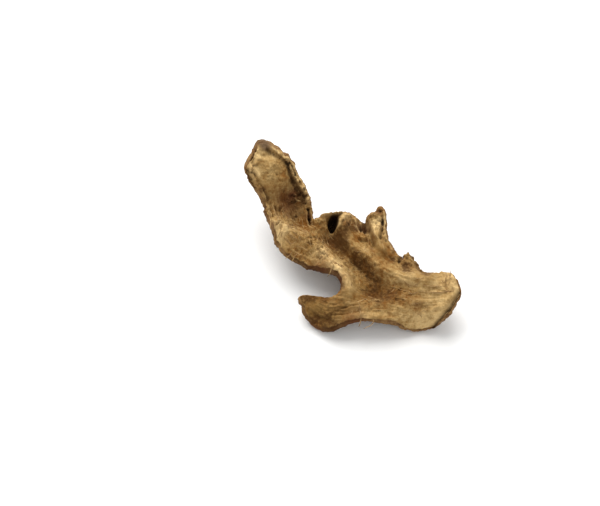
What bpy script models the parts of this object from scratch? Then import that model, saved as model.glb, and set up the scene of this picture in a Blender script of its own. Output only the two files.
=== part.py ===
# Dried ginger root: one lengthwise slice of the rhizome, lying on its skin with the cut face up.
# The slice is one grown piece. It has a finger at the upper left, two worn knobs beside it,
# a broad body with two feet, and a rim of skin that curled up round the cut face as it dried.

import math

import bmesh
import bpy
import numpy as np
from mathutils import Matrix, Vector, noise

MM = 0.001

# Driving dimensions, in millimetres, degrees where the name says so.
# The slice is drawn on a sloping plane that looks down on it from the front. On that plane
# x runs to the right, y runs up the slope and w stands out of it, towards the eye.
SLOPE_DEG = 57.0            # how steeply the drawing plane's eye looks down on the table
LEAN_DEG = 26.0             # how far the cut face tips back from the drawing plane
CUP_PER_MM = 0.014          # how quickly the slice curls up towards its left and right ends
FINGER_LIFT_PER_MM = 0.045  # how quickly the finger curls up off the table
FINGER_ROOT_Y = 21.0        # where the finger starts to curl
EDGE_THICK = 2.3            # thickness at the edge
EDGE_UNEVEN = 0.9           # how much the edge's thickness comes and goes
BODY_THICK = 4.2            # thickness well inside the edge
THIN_WALL = 0.9             # the least that is left under a hollow
SWELL_WIDTH = 3.6           # how far in from the edge the thickness grows
FOLD_SHARE = 0.55           # how much of each fold of the cut face shows on the skin side too
CELL = 0.32                 # size of one cell of the flat blank
SLAB = 3.2                  # depth of the flat blank that the slice is shaped from
FACETS = 9400               # triangles that the finished slice is brought down to
SMOOTHING_PASSES = 2        # how often the shaped cells are evened out
FLOOR_TRIM = 0.45           # how much the lowest bumps are worn flat where they rest

# The fibres and the rings of the skin follow circles round this point.
GROWTH_CENTRE = (1.8, 40.0)
RING_EVERY_DEG = 8.5
RING_HEIGHT = 0.5
RING_SHARPNESS = 3
RING_BASE = 0.3

# The edge of the slice on the drawing plane, clockwise from the finger's tip.
EDGE = (
    (-19.8, 41.5), (-18.2, 41.2), (-16.5, 40.3), (-14.8, 39.1), (-13.5, 38.0),
    (-12.8, 36.5), (-12.1, 34.9), (-11.1, 33.3), (-10.1, 31.6), (-9.5, 30.0),
    (-9.1, 28.1), (-8.7, 26.2), (-8.3, 24.9), (-7.3, 25.3), (-5.9, 26.0),
    (-4.2, 26.2), (-2.4, 26.4), (-1.0, 26.3), (0.3, 25.7), (1.2, 24.9),
    (2.2, 24.2), (3.1, 24.3), (3.4, 25.1), (3.8, 25.8), (4.5, 26.2), (5.3, 26.4),
    (5.9, 27.2), (6.5, 27.5), (7.1, 26.8), (7.4, 25.2), (7.4, 22.8), (7.8, 20.5),
    (9.0, 18.5), (10.2, 16.8), (11.1, 15.9), (11.7, 16.9), (12.3, 17.8),
    (13.2, 16.3), (14.4, 14.3), (16.0, 13.1), (18.1, 12.9), (19.8, 13.2),
    (21.4, 12.8), (22.5, 11.2), (22.9, 9.4), (22.3, 7.4), (21.2, 5.6),
    (20.0, 4.0), (18.7, 2.6), (17.2, 1.5), (15.6, 0.9), (13.7, 0.8),
    (11.9, 1.2), (10.4, 2.0), (8.6, 2.6), (5.7, 2.9), (2.2, 3.0),
    (-0.9, 2.6), (-3.2, 1.8), (-5.4, 1.2), (-7.4, 1.3), (-8.9, 2.4),
    (-9.9, 4.0), (-10.6, 5.9), (-11.3, 7.6), (-10.9, 8.2), (-9.3, 8.1),
    (-7.0, 7.7), (-4.6, 7.5), (-3.1, 8.1), (-2.3, 9.5), (-2.5, 11.1),
    (-3.7, 12.6), (-5.7, 13.6), (-7.9, 14.3), (-9.9, 15.1), (-11.8, 16.0),
    (-13.6, 16.9), (-15.0, 18.2), (-16.2, 19.9), (-17.1, 21.8), (-17.9, 23.7),
    (-18.5, 25.6), (-18.9, 27.7), (-19.8, 29.8), (-21.1, 31.7), (-22.4, 33.7),
    (-23.1, 35.7), (-22.5, 37.5), (-21.4, 39.2), (-20.75, 40.9),
)

# Folds of the slice: the line each one follows, its half width and its height.
FOLDS = {
    "left_ridge": (
        ((-16.9, 23.3), (-13.4, 21.2), (-10.2, 19.4), (-7.6, 17.4), (-5.2, 15.3), (-3.2, 13.2),
         (-1.8, 11.2), (-1.1, 8.8)),
        2.0, 2.5,
    ),
    "middle_valley": (
        ((-4.7, 20.9), (-2.8, 18.7), (-0.5, 16.7), (1.2, 14.9), (2.7, 12.8), (4.0, 11.0), (5.4, 9.2)),
        2.1, -2.5,
    ),
    "knob_ridge": (
        ((-2.6, 23.6), (-2.3, 21.5), (-1.2, 19.9), (0.3, 18.4), (2.1, 16.9), (4.1, 15.4), (6.4, 13.4),
         (10.2, 11.7), (17.0, 11.0)),
        1.6, 2.2,
    ),
    "shoulder_ridge": (((5.0, 25.4), (5.2, 22.9), (5.6, 20.3), (6.6, 17.6)), 1.1, 1.5),
    "shoulder_valley": (((3.2, 24.0), (3.5, 22.0), (4.0, 20.4), (4.7, 19.2)), 0.7, -1.2),
    "finger_hollow": (((-13.6, 30.0), (-12.6, 28.0), (-11.8, 25.2)), 2.0, -2.0),
    "finger_pad": (((-18.4, 36.8), (-16.8, 33.2)), 3.1, 1.2),
    "body_swell": (((-4.5, 5.3), (4.0, 6.3), (14.0, 5.6)), 3.2, 1.4),
    "end_swell": (((20.6, 9.6), (18.6, 4.6)), 2.6, 1.0),
    "back_wall": (((23.6, 7.6), (22.0, 4.6), (19.2, 1.8)), 0.8, -1.0),
}

# Narrow clefts in the cut face: the line each one follows, its half width and its depth.
CLEFTS = {
    "finger_crease": (
        ((-18.7, 40.0), (-17.0, 39.0), (-15.0, 38.1), (-14.1, 36.7), (-13.8, 34.8), (-12.8, 33.2),
         (-11.9, 31.7), (-11.0, 29.9), (-10.4, 28.6)),
        0.42, 1.1,
    ),
    "finger_slit": (((-9.55, 27.1), (-9.45, 25.3), (-9.15, 23.9)), 0.3, 1.6),
    "shoulder_cleft": (((6.6, 26.6), (6.8, 24.6), (6.7, 22.6), (6.3, 20.2)), 0.3, 1.0),
    "tooth_cleft": (((12.9, 17.6), (14.1, 14.4), (15.4, 12.9)), 0.4, 1.0),
    "foot_cleft": (((22.9, 8.9), (21.2, 6.1), (19.4, 3.7), (17.0, 1.2)), 0.3, 1.4),
}

# Places where the skin stands up as a rim: centre, reach and height.
RIMS = (
    (-13.0, 36.0, 5.6, 0.7), (-22.2, 35.0, 5.0, 0.5), (-9.8, 29.0, 4.5, 1.1),
    (7.6, 24.5, 4.5, 0.9), (-1.0, 26.5, 3.2, 0.9), (12.3, 16.5, 3.5, 0.6),
    (21.5, 12.5, 4.5, 0.5), (-17.5, 20.5, 4.5, 0.6), (-3.5, 10.0, 3.5, 0.5),
)
RIM_INSET = 0.8
RIM_WIDTH = 0.75
RIM_CRINKLE = 0.45          # how much the height of a rim comes and goes along it
CRINKLE_SIZE = 1.5

# Rounded swellings and hollows of the cut face: centre, half width, half height,
# turn in degrees, then height or depth.
SWELLINGS = (
    (-17.4, 35.0, 3.5, 4.3, 20.0, 1.7),
    (-1.1, 23.6, 1.6, 1.5, 20.0, 1.2),
    (2.4, 20.8, 0.9, 0.8, 0.0, 1.0),
)
HOLLOWS = (
    (-4.05, 24.25, 1.0, 1.5, -8.0, 5.0),
    (2.5, 23.1, 1.0, 1.1, -10.0, 1.5),
    (5.9, 26.3, 0.5, 1.0, 10.0, 0.7),
)
OVAL_FIRMNESS = 6           # how steep the sides of the swellings and hollows are

# Lumps of the skin side: centre, reach and height.
SKIN_LUMPS = (
    (-17.5, 35.5, 5.0, 2.0),
    (-14.0, 27.0, 4.5, 1.4),
    (-3.8, 23.2, 4.4, 3.0),
    (5.8, 24.0, 3.0, 2.0),
    (16.5, 4.0, 3.8, 1.2),
    (-7.0, 4.0, 2.8, 0.8),
    (-9.0, 17.5, 4.0, 0.8),
)

# The round scar on the skin side where the next knob of the root broke off.
SCAR_CENTRE = (9.5, 10.0)
SCAR_RADIUS = 3.4
SCAR_LIP = 0.8
SCAR_LIP_WIDTH = 0.25       # share of the scar's radius
SCAR_DEPTH = 0.9
SCAR_BOWL = 0.6             # share of the scar's radius

# Places where the edge curls under, away from the eye: centre, reach and drop.
CURLS = (
    (-8.8, 1.0, 4.8, 4.1),
    (15.5, -0.5, 5.8, 5.7),
)

# Places where the edge is thinner: centre, reach and how much is gone.
THIN_EDGES = (
    (22.0, 5.0, 4.5, -0.9),
    (16.0, 0.5, 4.0, -0.5),
    (3.4, 2.8, 3.8, -1.1),
)

LUMP_SIZE = 4.5
LUMP_HEIGHT = 0.4
WRINKLE_SIZE = (1.9, 9.0)   # across and along the fibres
WRINKLE_HEIGHT = 0.3

# Each kind of unevenness is cut from the noise at its own level; another level has other bumps.
CUT_LUMPS_AT = 3.7
CUT_WRINKLES_AT = 1.3
RIM_CRINKLES_AT = 5.5
SKIN_LUMPS_AT = 9.1
SKIN_WRINKLES_AT = 7.9
EDGE_LUMPS_AT = 2.2

LOOP_STEPS = 4              # points of the smooth edge for each given one
SMOOTHING = 0.5
WELD = 0.001
SKIN_COLOUR = (0.33, 0.21, 0.09, 1.0)
SKIN_ROUGHNESS = 0.85


def smooth_loop(points, steps):
    """Points along a smooth closed curve through the given ones."""
    here = np.array(points, float)
    before, after, beyond = (np.roll(here, shift, axis=0) for shift in (1, -1, -2))
    t = np.linspace(0, 1, steps, endpoint=False)[:, None, None]
    loop = here + 0.5 * (
        (after - before) * t
        + (2 * before - 5 * here + 4 * after - beyond) * t**2
        + (3 * here - before - 3 * after + beyond) * t**3
    )
    return loop.transpose(1, 0, 2).reshape(-1, 2)


def distance_to_path(xy, path):
    """Distance from each point to the nearest stretch of an open path."""
    path = np.array(path, float)
    nearest = np.full(len(xy), np.inf)
    for start, end in zip(path[:-1], path[1:]):
        run = end - start
        share = np.clip((xy - start) @ run / (run @ run), 0, 1)
        nearest = np.minimum(nearest, np.linalg.norm(xy - start - share[:, None] * run, axis=1))
    return nearest


def hill(distance, reach):
    """1 at no distance, falling smoothly to 0 past the reach."""
    return np.exp(-((distance / reach) ** 2))


def spots(xy, table):
    """The sum of round hills, each given as centre x, centre y, reach and height."""
    total = np.zeros(len(xy))
    for x, y, reach, height in table:
        total += height * hill(np.hypot(xy[:, 0] - x, xy[:, 1] - y), reach)
    return total


def lumpiness(points):
    """Soft unevenness at each point, from about -1 to 1."""
    return np.array([noise.noise(Vector(point)) for point in points])


def lumps(xy, size, seed):
    """Even unevenness, with bumps of one size."""
    return lumpiness(np.column_stack([xy / size, np.full(len(xy), seed)]))


def growth_lines(xy):
    """Where each point lies on the circles of growth: its radius and its turn in degrees."""
    out = xy - GROWTH_CENTRE
    return np.hypot(out[:, 0], out[:, 1]), np.degrees(np.arctan2(out[:, 1], out[:, 0]))


def wrinkles(xy, seed):
    """Shallow wrinkles that run along the circles of growth."""
    radius, turn = growth_lines(xy)
    across, along = WRINKLE_SIZE
    run = radius.mean() * np.radians(turn)
    return lumpiness(np.column_stack([radius / across, run / along, np.full(len(xy), seed)]))


def lines(xy, table):
    """The sum of long hills, each given as the line it follows, its reach and its height."""
    total = np.zeros(len(xy))
    for path, reach, height in table.values():
        total += height * hill(distance_to_path(xy, path), reach)
    return total


def ovals(xy, table):
    """The sum of firm oval swellings, each turned about its centre."""
    total = np.zeros(len(xy))
    for x, y, half_width, half_height, turn, height in table:
        away = xy - (x, y)
        cos, sin = math.cos(math.radians(turn)), math.sin(math.radians(turn))
        across = (away[:, 0] * cos + away[:, 1] * sin) / half_width
        along = (away[:, 1] * cos - away[:, 0] * sin) / half_height
        total += height / (1 + np.hypot(across, along) ** OVAL_FIRMNESS)
    return total


def sheet_depth(xy):
    """How far the middle of the slice stands out of the drawing plane, without its folds."""
    x, y = xy[:, 0], xy[:, 1]
    depth = -math.tan(math.radians(LEAN_DEG)) * y + CUP_PER_MM / 2 * x**2
    depth += FINGER_LIFT_PER_MM / 2 * np.maximum(y - FINGER_ROOT_Y, 0) ** 2
    return depth - spots(xy, CURLS)


def sheet_normal(xy):
    """Unit directions square to the middle of the slice."""
    step = 0.05
    across = (sheet_depth(xy + (step, 0)) - sheet_depth(xy - (step, 0))) / (2 * step)
    along = (sheet_depth(xy + (0, step)) - sheet_depth(xy - (0, step))) / (2 * step)
    normal = np.stack([-across, -along, np.ones(len(xy))], axis=1)
    return normal / np.linalg.norm(normal, axis=1)[:, None]


def cut_relief(xy, inset):
    """Height of the cut face's own relief."""
    height = LUMP_HEIGHT / 2 * lumps(xy, LUMP_SIZE, CUT_LUMPS_AT)
    height += WRINKLE_HEIGHT * wrinkles(xy, CUT_WRINKLES_AT)
    rim = spots(xy, RIMS) * (1 + RIM_CRINKLE * lumps(xy, CRINKLE_SIZE, RIM_CRINKLES_AT))
    height += rim * hill(inset - RIM_INSET, RIM_WIDTH)
    return height + ovals(xy, SWELLINGS) - ovals(xy, HOLLOWS) - lines(xy, CLEFTS)


def skin_relief(xy, inset):
    """Thickness of the slice, down to its skin, with the skin's rings, lumps and scar."""
    swell = np.sin(np.minimum(np.maximum(inset, 0) / SWELL_WIDTH, 1) * math.pi / 2)
    turn = growth_lines(xy)[1]
    wave = (1 + np.cos(2 * math.pi * turn / RING_EVERY_DEG)) / 2
    own = spots(xy, SKIN_LUMPS) + LUMP_HEIGHT * lumps(xy, LUMP_SIZE, SKIN_LUMPS_AT)
    own += RING_HEIGHT * (wave**RING_SHARPNESS - RING_BASE)
    own += WRINKLE_HEIGHT * wrinkles(xy, SKIN_WRINKLES_AT)
    out = np.hypot(xy[:, 0] - SCAR_CENTRE[0], xy[:, 1] - SCAR_CENTRE[1])
    own += SCAR_LIP * hill(out - SCAR_RADIUS, SCAR_LIP_WIDTH * SCAR_RADIUS)
    own -= SCAR_DEPTH * hill(out, SCAR_BOWL * SCAR_RADIUS)
    edge = EDGE_THICK + EDGE_UNEVEN * lumps(xy, LUMP_SIZE, EDGE_LUMPS_AT) + spots(xy, THIN_EDGES)
    return edge + swell * (BODY_THICK - EDGE_THICK + own)


def shape(flat):
    """Where the points of the flat blank lie on the slice, on the table, in millimetres."""
    xy = flat[:, :2]
    loop = smooth_loop(EDGE, LOOP_STEPS)
    inset = distance_to_path(xy, np.vstack([loop, loop[:1]]))
    fold = lines(xy, FOLDS)
    cut = fold + cut_relief(xy, inset)
    skin = FOLD_SHARE * fold - skin_relief(xy, inset)
    skin = np.minimum(skin, cut - THIN_WALL)
    through = np.clip(flat[:, 2] / SLAB + 0.5, 0, 1)
    height = through * cut + (1 - through) * skin
    drawn = np.column_stack([xy, sheet_depth(xy)]) + height[:, None] * sheet_normal(xy)
    slope = math.radians(SLOPE_DEG)
    up = Vector((0, math.sin(slope), math.cos(slope)))
    out = Vector((0, -math.cos(slope), math.sin(slope)))
    return drawn @ np.array([(1, 0, 0), up, out])


def settle(points):
    """Sets the slice on the table, wears its lowest bumps flat and centres it on the origin."""
    points[:, 2] -= points[:, 2].min() + FLOOR_TRIM
    points[:, 2] = np.maximum(points[:, 2], 0)
    middle = (points.min(axis=0) + points.max(axis=0)) / 2
    return points - (middle[0], middle[1], 0)


def mesh_of(obj):
    """A new mesh of the object as its modifiers leave it."""
    graph = bpy.context.evaluated_depsgraph_get()
    return bpy.data.meshes.new_from_object(obj.evaluated_get(graph))


def blank_mesh():
    """A flat slab of the slice's outline, one unit to the millimetre, in even cells."""
    curve = bpy.data.curves.new("edge", "CURVE")
    curve.dimensions = "2D"
    curve.fill_mode = "BOTH"
    curve.extrude = SLAB / 2
    loop = smooth_loop(EDGE, LOOP_STEPS)
    spline = curve.splines.new("POLY")
    spline.points.add(len(loop) - 1)
    for point, (x, y) in zip(spline.points, loop):
        point.co = (x, y, 0, 1)
    spline.use_cyclic_u = True
    edge = bpy.data.objects.new("edge", curve)
    bpy.context.scene.collection.objects.link(edge)
    slab = mesh_of(edge)
    bpy.data.objects.remove(edge)
    welded = bmesh.new()
    welded.from_mesh(slab)
    bmesh.ops.remove_doubles(welded, verts=welded.verts, dist=WELD)
    bmesh.ops.recalc_face_normals(welded, faces=welded.faces)
    welded.to_mesh(slab)
    welded.free()
    blank = bpy.data.objects.new("blank", slab)
    bpy.context.scene.collection.objects.link(blank)
    cells = blank.modifiers.new("cells", "REMESH")
    cells.mode = "VOXEL"
    cells.voxel_size = CELL
    mesh = mesh_of(blank)
    bpy.data.objects.remove(blank)
    return mesh


def ginger_material():
    material = bpy.data.materials.new("dried_ginger")
    material.use_nodes = True
    surface = material.node_tree.nodes["Principled BSDF"]
    surface.inputs["Base Color"].default_value = SKIN_COLOUR
    surface.inputs["Roughness"].default_value = SKIN_ROUGHNESS
    surface.inputs["Metallic"].default_value = 0.0
    return material


def points_of(mesh):
    """The mesh's points, one row each."""
    flat = np.empty(len(mesh.vertices) * 3, np.float32)
    mesh.vertices.foreach_get("co", flat)
    return flat.reshape(-1, 3).astype(float)


def move_points(mesh, points):
    mesh.vertices.foreach_set("co", points.astype(np.float32).ravel())


def even_out(mesh):
    """Takes the stepping of the cells out of the steep places."""
    shaped = bmesh.new()
    shaped.from_mesh(mesh)
    for _ in range(SMOOTHING_PASSES):
        bmesh.ops.smooth_vert(
            shaped,
            verts=shaped.verts,
            factor=SMOOTHING,
            use_axis_x=True,
            use_axis_y=True,
            use_axis_z=True,
        )
    shaped.to_mesh(mesh)
    shaped.free()


def ginger_slice(collection):
    mesh = blank_mesh()
    mesh.name = "ginger_slice"
    move_points(mesh, shape(points_of(mesh)))
    even_out(mesh)
    move_points(mesh, settle(points_of(mesh)))
    mesh.transform(Matrix.Scale(MM, 4))
    mesh.materials.append(ginger_material())
    mesh.shade_smooth()
    slice_object = bpy.data.objects.new("ginger_slice", mesh)
    collection.objects.link(slice_object)
    fewer = slice_object.modifiers.new("fewer", "DECIMATE")
    fewer.ratio = FACETS / sum(len(face.vertices) - 2 for face in mesh.polygons)
    return slice_object


def main():
    for obj in list(bpy.data.objects):
        bpy.data.objects.remove(obj)
    collection = bpy.data.collections.new("dried_ginger_root")
    bpy.context.scene.collection.children.link(collection)
    ginger_slice(collection)


main()
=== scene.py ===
import math
import random

import bmesh
import bpy
import numpy as np
from mathutils import Matrix, Vector, noise


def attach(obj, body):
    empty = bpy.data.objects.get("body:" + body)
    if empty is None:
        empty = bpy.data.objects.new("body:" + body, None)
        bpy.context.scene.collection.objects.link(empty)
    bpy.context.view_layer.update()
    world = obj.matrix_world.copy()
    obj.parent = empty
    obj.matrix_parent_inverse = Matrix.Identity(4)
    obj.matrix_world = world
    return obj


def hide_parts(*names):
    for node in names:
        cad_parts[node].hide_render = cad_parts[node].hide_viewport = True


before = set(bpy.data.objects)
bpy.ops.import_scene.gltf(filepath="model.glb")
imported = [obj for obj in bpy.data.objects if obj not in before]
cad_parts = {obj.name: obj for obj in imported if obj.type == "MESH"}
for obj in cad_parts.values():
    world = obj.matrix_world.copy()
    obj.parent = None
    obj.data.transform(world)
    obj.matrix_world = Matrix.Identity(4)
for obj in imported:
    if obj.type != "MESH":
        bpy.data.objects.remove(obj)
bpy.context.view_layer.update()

# A lengthwise slice of dried ginger root, lying on its skin with the cut face up.
# It is drawn on a sloping plane that faces the camera: x to the right, y up the slope,
# w out of it. Lengths are in millimetres until a piece is finished.
mm = 0.001

ginger = {
    "slopeDeg": 57,  # how steeply the camera looks down
    "leanDeg": 26,  # how far the cut face tips back from the drawing plane
    "cupPerMm": 0.014,  # curl towards the left and right ends
    "fingerLiftPerMm": 0.045,  # curl of the finger
    "fingerRootY": 21,
    "edgeThick": 2.3, "edgeUneven": 0.9, "bodyThick": 4.2, "swellWidth": 3.6,
    "thinWall": 0.9,  # least that is left under a hollow
    "foldShare": 0.55,  # share of each fold that the skin side follows
    "growthCentre": (1.8, 40), "ringEveryDeg": 8.5,
    "ringHeight": 0.5, "ringSharpness": 3, "ringBase": 0.3,
    "lumpSize": 4.5, "lumpHeight": 0.4,
    "wrinkleSize": (1.9, 9), "wrinkleHeight": 0.3,
    "slab": 3.2,  # depth of the flat blank
    "cell": 0.152,  # its cells
    "floorTrim": 0.45,  # worn off the lowest bumps
    "scarCentre": (9.5, 10), "scarRadius": 3.4,
    "scarLip": 0.8, "scarDepth": 0.9,
    "scarLipWidth": 0.25, "scarBowl": 0.6,  # shares of the radius
    "ovalFirmness": 6,  # how steep the sides of the swellings and hollows are
    "edgeSteps": 4,  # points of the smooth edge for each given one
    "smoothing": 0.3,
}

# Each kind of unevenness is cut from the noise at its own level.
levels = {
    "cutLumps": 3.7, "cutWrinkles": 1.3, "rimCrinkles": 5.5,
    "skinLumps": 9.1, "skinWrinkles": 7.9, "edgeLumps": 2.2,
}

# The edge of the cut face, clockwise from the finger's tip.
edge = (
    (-19.8, 41.5), (-18.2, 41.2), (-16.5, 40.3), (-14.8, 39.1), (-13.5, 38), (-12.8, 36.5),
    (-12.1, 34.9), (-11.1, 33.3), (-10.1, 31.6), (-9.5, 30), (-9.1, 28.1), (-8.7, 26.2), (-8.3, 24.9),
    (-7.3, 25.3), (-5.9, 26), (-4.2, 26.2), (-2.4, 26.4), (-1, 26.3), (0.3, 25.7), (1.2, 24.9),
    (2.2, 24.2), (3.1, 24.3), (3.4, 25.1), (3.8, 25.8), (4.5, 26.2), (5.3, 26.4), (5.9, 27.2),
    (6.5, 27.5), (7.1, 26.8), (7.4, 25.2), (7.4, 22.8), (7.8, 20.5), (9, 18.5), (10.2, 16.8),
    (11.1, 15.9), (11.7, 16.9), (12.3, 17.8), (13.2, 16.3), (14.4, 14.3), (16, 13.1), (18.1, 12.9),
    (19.8, 13.2), (21.4, 12.8), (22.5, 11.2), (22.9, 9.4), (22.3, 7.4), (21.2, 5.6), (20, 4),
    (18.7, 2.6), (17.2, 1.5), (15.6, 0.9), (13.7, 0.8), (11.9, 1.2), (10.4, 2), (8.6, 2.6), (5.7, 2.9),
    (2.2, 3), (-0.9, 2.6), (-3.2, 1.8), (-5.4, 1.2), (-7.4, 1.3), (-8.9, 2.4), (-9.9, 4), (-10.6, 5.9),
    (-11.3, 7.6), (-10.9, 8.2), (-9.3, 8.1), (-7, 7.7), (-4.6, 7.5), (-3.1, 8.1), (-2.3, 9.5),
    (-2.5, 11.1), (-3.7, 12.6), (-5.7, 13.6), (-7.9, 14.3), (-9.9, 15.1), (-11.8, 16), (-13.6, 16.9),
    (-15, 18.2), (-16.2, 19.9), (-17.1, 21.8), (-17.9, 23.7), (-18.5, 25.6), (-18.9, 27.7),
    (-19.8, 29.8), (-21.1, 31.7), (-22.4, 33.7), (-23.1, 35.7), (-22.5, 37.5), (-21.4, 39.2),
    (-20.75, 40.9),
)

# Folds of the whole slice: the line of each, its half width and its height.
folds = {
    "leftRidge": (
        ((-16.9, 23.3), (-13.4, 21.2), (-10.2, 19.4), (-7.6, 17.4), (-5.2, 15.3), (-3.2, 13.2),
         (-1.8, 11.2), (-1.1, 8.8)), 2, 2.5,
    ),
    "middleValley": (
        ((-4.7, 20.9), (-2.8, 18.7), (-0.5, 16.7), (1.2, 14.9), (2.7, 12.8), (4, 11),
         (5.4, 9.2)), 2.1, -2.5,
    ),
    "knobRidge": (
        ((-2.6, 23.6), (-2.3, 21.5), (-1.2, 19.9), (0.3, 18.4), (2.1, 16.9), (4.1, 15.4), (6.4, 13.4),
         (10.2, 11.7), (17, 11)), 1.6, 2.2,
    ),
    "shoulderRidge": (((5, 25.4), (5.2, 22.9), (5.6, 20.3), (6.6, 17.6)), 1.1, 1.5),
    "shoulderValley": (((3.2, 24), (3.5, 22), (4, 20.4), (4.7, 19.2)), 0.7, -1.2),
    "fingerHollow": (((-13.6, 30), (-12.6, 28), (-11.8, 25.2)), 2, -2),
    "fingerPad": (((-18.4, 36.8), (-16.8, 33.2)), 3.1, 1.2),
    "bodySwell": (((-4.5, 5.3), (4, 6.3), (14, 5.6)), 3.2, 1.4),
    "endSwell": (((20.6, 9.6), (18.6, 4.6)), 2.6, 1),
    "backWall": (((23.6, 7.6), (22, 4.6), (19.2, 1.8)), 0.8, -1),
}

# Narrow clefts of the cut face: the line of each, its half width and its depth.
clefts = {
    "fingerCrease": (
        ((-18.7, 40), (-17, 39), (-15, 38.1), (-14.1, 36.7), (-13.8, 34.8), (-12.8, 33.2),
         (-11.9, 31.7), (-11, 29.9), (-10.4, 28.6)), 0.52, 0.85,
    ),
    "fingerSlit": (((-9.55, 27.1), (-9.45, 25.3), (-9.15, 23.9)), 0.3, 1.6),
    "shoulderCleft": (((6.6, 26.6), (6.8, 24.6), (6.7, 22.6), (6.3, 20.2)), 0.3, 1),
    "toothCleft": (((12.9, 17.6), (14.1, 14.4), (15.4, 12.9)), 0.4, 1),
    "footCleft": (((22.9, 8.9), (21.2, 6.1), (19.4, 3.7), (17, 1.2)), 0.3, 1.4),
}

# Places where the skin stands up as a rim: centre, reach, height.
rims = (
    (-13, 36, 5.6, 0.7), (-22.2, 35, 5, 0.5), (-9.8, 29, 4.5, 1.1), (7.6, 24.5, 4.5, 0.9),
    (-1, 26.5, 3.2, 0.9), (12.3, 16.5, 3.5, 0.6), (21.5, 12.5, 4.5, 0.5), (-17.5, 20.5, 4.5, 0.6),
    (-3.5, 10, 3.5, 0.5),
)
rimShape = {"inset": 0.8, "width": 0.75, "crinkle": 0.45, "crinkleSize": 1.5}

# Rounded swellings and hollows of the cut face: centre, half width, half height,
# turn in degrees, height or depth.
swellings = (
    (-17.4, 35, 3.5, 4.3, 20, 1.7), (-1.1, 23.6, 1.6, 1.5, 20, 1.2), (2.4, 20.8, 0.9, 0.8, 0, 1),
)
hollows = (
    (-4.05, 24.25, 1, 1.5, -8, 5), (2.5, 23.1, 1, 1.1, -10, 1.5), (5.9, 26.3, 0.5, 1, 10, 0.7),
)

# Lumps of the skin side and places where the edge curls under: centre, reach, height.
skinLumps = (
    (-17.5, 35.5, 5, 2), (-14, 27, 4.5, 1.4), (-3.8, 23.2, 4.4, 3), (5.8, 24, 3, 2),
    (16.5, 4, 3.8, 1.2), (-7, 4, 2.8, 0.8), (-9, 17.5, 4, 0.8),
)
curls = ((-8.8, 1, 4.8, 4.1), (15.5, -0.5, 5.8, 5.7))
thinEdges = ((22, 5, 4.5, -0.9), (16, 0.5, 4, -0.5), (3.4, 2.8, 3.8, -1.1))


# Curves and hills

def spline(before, here, after, beyond, t):
    # from here at 0 to after at 1, smooth where it meets its neighbours
    return here + 0.5 * (
        (after - before) * t
        + (2 * before - 5 * here + 4 * after - beyond) * t**2
        + (3 * here - before - 3 * after + beyond) * t**3
    )


def smoothLoop(points, steps):
    here = np.array(points, float)
    before, after, beyond = (np.roll(here, shift, axis=0) for shift in (1, -1, -2))
    t = np.linspace(0, 1, steps, endpoint=False)[:, None, None]
    return spline(before, here, after, beyond, t).transpose(1, 0, 2).reshape(-1, 2)


def smoothPath(points, steps):
    # an open line through its points
    share = np.linspace(0, len(points) - 1, (len(points) - 1) * steps + 1)
    low = np.minimum(share.astype(int), len(points) - 2)
    padded = np.vstack([2 * points[0] - points[1], points, 2 * points[-1] - points[-2]])
    return spline(*(padded[low + shift] for shift in range(4)), (share - low)[:, None])


edgeLoop = smoothLoop(edge, ginger["edgeSteps"])


def toPiece(xy, start, run):
    # distance to a straight piece, and the share of the way along it
    share = np.clip((xy - start) @ run / (run @ run), 0, 1)
    return np.linalg.norm(xy - start - share[:, None] * run, axis=1), share


def distanceToPath(xy, path):
    path = np.array(path, float)
    return np.min([toPiece(xy, *piece)[0] for piece in zip(path, np.diff(path, axis=0))], axis=0)


def edgeOf(xy):
    # distance in from the edge, and the way out across it
    run = np.roll(edgeLoop, -1, axis=0) - edgeLoop
    side = np.column_stack([-run[:, 1], run[:, 0]])
    side /= np.linalg.norm(side, axis=1)[:, None]
    corner = side + np.roll(side, 1, axis=0)
    turning = np.roll(corner, -1, axis=0) - corner
    nearest = np.full(len(xy), np.inf)
    outward = np.zeros((len(xy), 2))
    for i, start in enumerate(edgeLoop):
        away, share = toPiece(xy, start, run[i])
        closer = away < nearest
        nearest[closer] = away[closer]
        outward[closer] = corner[i] + share[closer, None] * turning[i]
    return nearest, outward / np.linalg.norm(outward, axis=1)[:, None]


def insideEdge(xy):
    # where a line to the right crosses the edge an odd number of times
    ends = np.roll(edgeLoop, -1, axis=0)
    x, y = xy[:, :1], xy[:, 1:]
    crossing = (edgeLoop[:, 1] > y) != (ends[:, 1] > y)
    rises = ends[:, 1] - edgeLoop[:, 1]
    along = (y - edgeLoop[:, 1]) / np.where(rises == 0, 1, rises)
    where = edgeLoop[:, 0] + along * (ends[:, 0] - edgeLoop[:, 0])
    return np.count_nonzero(crossing & (x < where), axis=1) % 2 == 1


def hill(distance, reach):
    return np.exp(-((distance / reach) ** 2))


def rise(value, low, high):
    # 0 at low, 1 at high, smooth between
    t = np.clip((value - low) / (high - low), 0, 1)
    return t * t * (3 - 2 * t)


def spots(xy, table):
    total = np.zeros(len(xy))
    for x, y, reach, height in table:
        total += height * hill(np.hypot(*(xy - (x, y)).T), reach)
    return total


def lines(xy, table):
    total = np.zeros(len(xy))
    for path, reach, height in table.values():
        total += height * hill(distanceToPath(xy, path), reach)
    return total


# Unevenness

def grainNoise(points):
    return np.array([noise.noise(point) for point in points.tolist()])


def lumps(xy, size, level):
    return grainNoise(np.column_stack([xy / size, np.full(len(xy), level)]))


def patches(xy, size, level, low, high):
    return rise(lumps(xy, size, level), low, high)


def mixed(xy, layers):
    return sum(share * lumps(xy, size, level) for size, level, share in layers)


def growthLines(xy):
    # rings follow circles round one point
    x, y = (xy - ginger["growthCentre"]).T
    return np.hypot(x, y), np.degrees(np.arctan2(y, x))


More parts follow.
